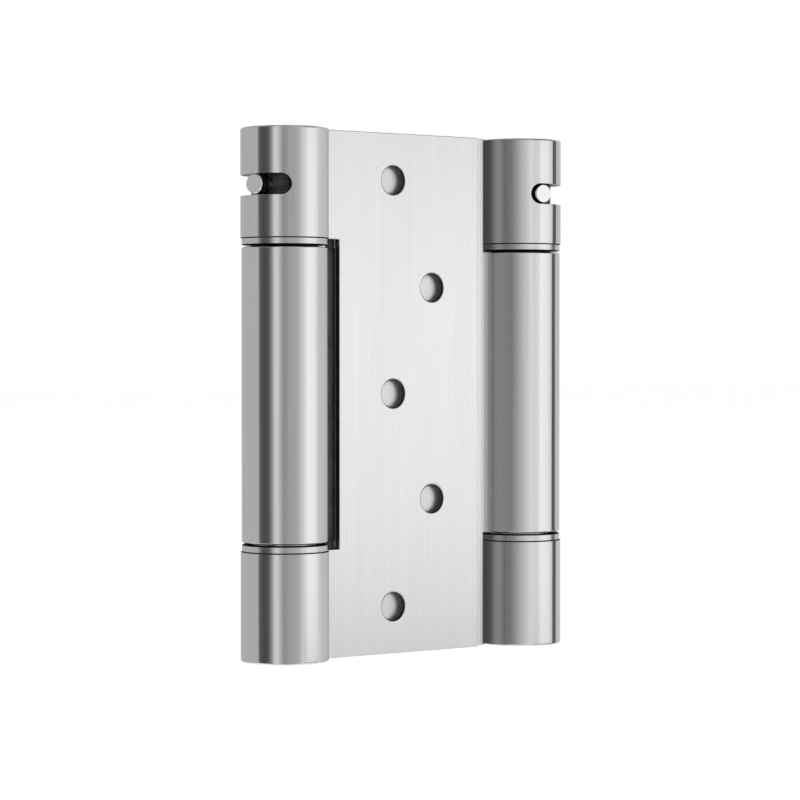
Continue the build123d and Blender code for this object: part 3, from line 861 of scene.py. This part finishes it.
def makeTent():
    clearSelection()
    bpy.ops.mesh.primitive_cylinder_add(vertices=180, radius=studio["tentRadius"] * mm, end_fill_type="NOTHING",
                                        depth=studio["tentHeight"] * mm, location=(0, 0, 0))
    tent = namePiece("tent")
    giveFinish(tent, makeCloth("tentCloth", studio["panels"], studio["heights"], studio["heightShare"]))
    clearSelection()
    bpy.ops.mesh.primitive_circle_add(vertices=90, radius=studio["tentRadius"] * mm, fill_type="NGON",
                                      location=(0, 0, studio["tentHeight"] / 2 * mm))
    roof = namePiece("tentRoof")
    giveFinish(roof, makeCloth("roofCloth", [(-180, studio["roofTone"]), (180, studio["roofTone"])]))
    for piece in (tent, roof):
        seenInMetalOnly(piece)
    return tent, roof


def makeScreen(name, screen, span):
    # a strip of cloth bent round a barrel, close to it
    low, high = screen["panels"][0][0], screen["panels"][-1][0]
    clearSelection()
    bpy.ops.mesh.primitive_cylinder_add(vertices=360, radius=screen["radius"] * mm, end_fill_type="NOTHING",
                                        depth=(span[1] - span[0]) * mm)
    strip = namePiece(name)
    openMesh(strip)
    pickFaces(strip, lambda c, n: not low < degrees(atan2(c.y, c.x)) % 360 < high)
    bpy.ops.mesh.delete(type="FACE")
    closeMesh()
    strip.location = (screen["axis"] * mm, 0, (span[0] + span[1]) / 2 * mm)
    giveFinish(strip, makeCloth(name + "Cloth", screen["panels"], oneSided=True))
    seenInMetalOnly(strip)
    return strip


def makeWorld():
    world = bpy.data.worlds.new("studioWorld")
    bpy.context.scene.world = world
    world.use_nodes = True
    tree = world.node_tree
    tree.nodes.clear()
    path = addNode(tree, "ShaderNodeLightPath")
    seen = addNode(tree, "ShaderNodeMath", operation="MAXIMUM")
    seenToo = addNode(tree, "ShaderNodeMath", operation="MAXIMUM")
    strength = addNode(tree, "ShaderNodeMapRange", {"To Min": studio["worldLight"],
                                                    "To Max": studio["worldSeen"]})
    light = addNode(tree, "ShaderNodeBackground", {"Color": (1, 1, 1, 1)})
    out = addNode(tree, "ShaderNodeOutputWorld")
    tree.links.new(path.outputs["Is Camera Ray"], seen.inputs[0])
    tree.links.new(path.outputs["Is Glossy Ray"], seen.inputs[1])
    tree.links.new(seen.outputs[0], seenToo.inputs[0])
    tree.links.new(path.outputs["Is Transmission Ray"], seenToo.inputs[1])
    tree.links.new(seenToo.outputs[0], strength.inputs["Value"])
    tree.links.new(strength.outputs["Result"], light.inputs["Strength"])
    tree.links.new(light.outputs[0], out.inputs["Surface"])


def addLamp(name, place, target, size, power):
    clearSelection()
    bpy.ops.object.light_add(type="AREA", location=[v * mm for v in place])
    lamp = bpy.context.active_object
    lamp.name = name
    lamp.data.size = size * mm
    lamp.data.energy = power
    lamp.rotation_euler = (Vector(target) - Vector(place)).to_track_quat("-Z", "Y").to_euler()
    return lamp


floor = makeFloor()
screens = [makeScreen(name, studio[name], span) for name in studio if name.endswith("Screen")
           for span in studio[name]["spans"]]
for piece in (floor, *makeTent(), *screens):
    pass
makeWorld()
topLamp = addLamp("topLamp", studio["lampPlace"], (0, 0, 0), studio["lampSize"], studio["lampPower"])
topLamp.visible_glossy = False
print("studio built")

# Camera, as fitted to the photograph
cameraFit = {"place": (-403.18, -546.19, 11.342), "yaw": 36.3233, "down": 1.0925, "focalPixels": 2802.84,
             "picturePixels": 800, "sensorWidth": 36}
clearSelection()
bpy.ops.object.camera_add(location=[v * mm for v in cameraFit["place"]],
                          rotation=(radians(90 - cameraFit["down"]), 0, radians(-cameraFit["yaw"])))
camera = bpy.context.active_object
camera.data.sensor_width = cameraFit["sensorWidth"]
camera.data.lens = cameraFit["focalPixels"] * cameraFit["sensorWidth"] / cameraFit["picturePixels"]
camera.data.clip_start, camera.data.clip_end = 0.01, 50
bpy.context.scene.camera = camera
bpy.context.scene.view_settings.view_transform = "Standard"
print("camera placed")
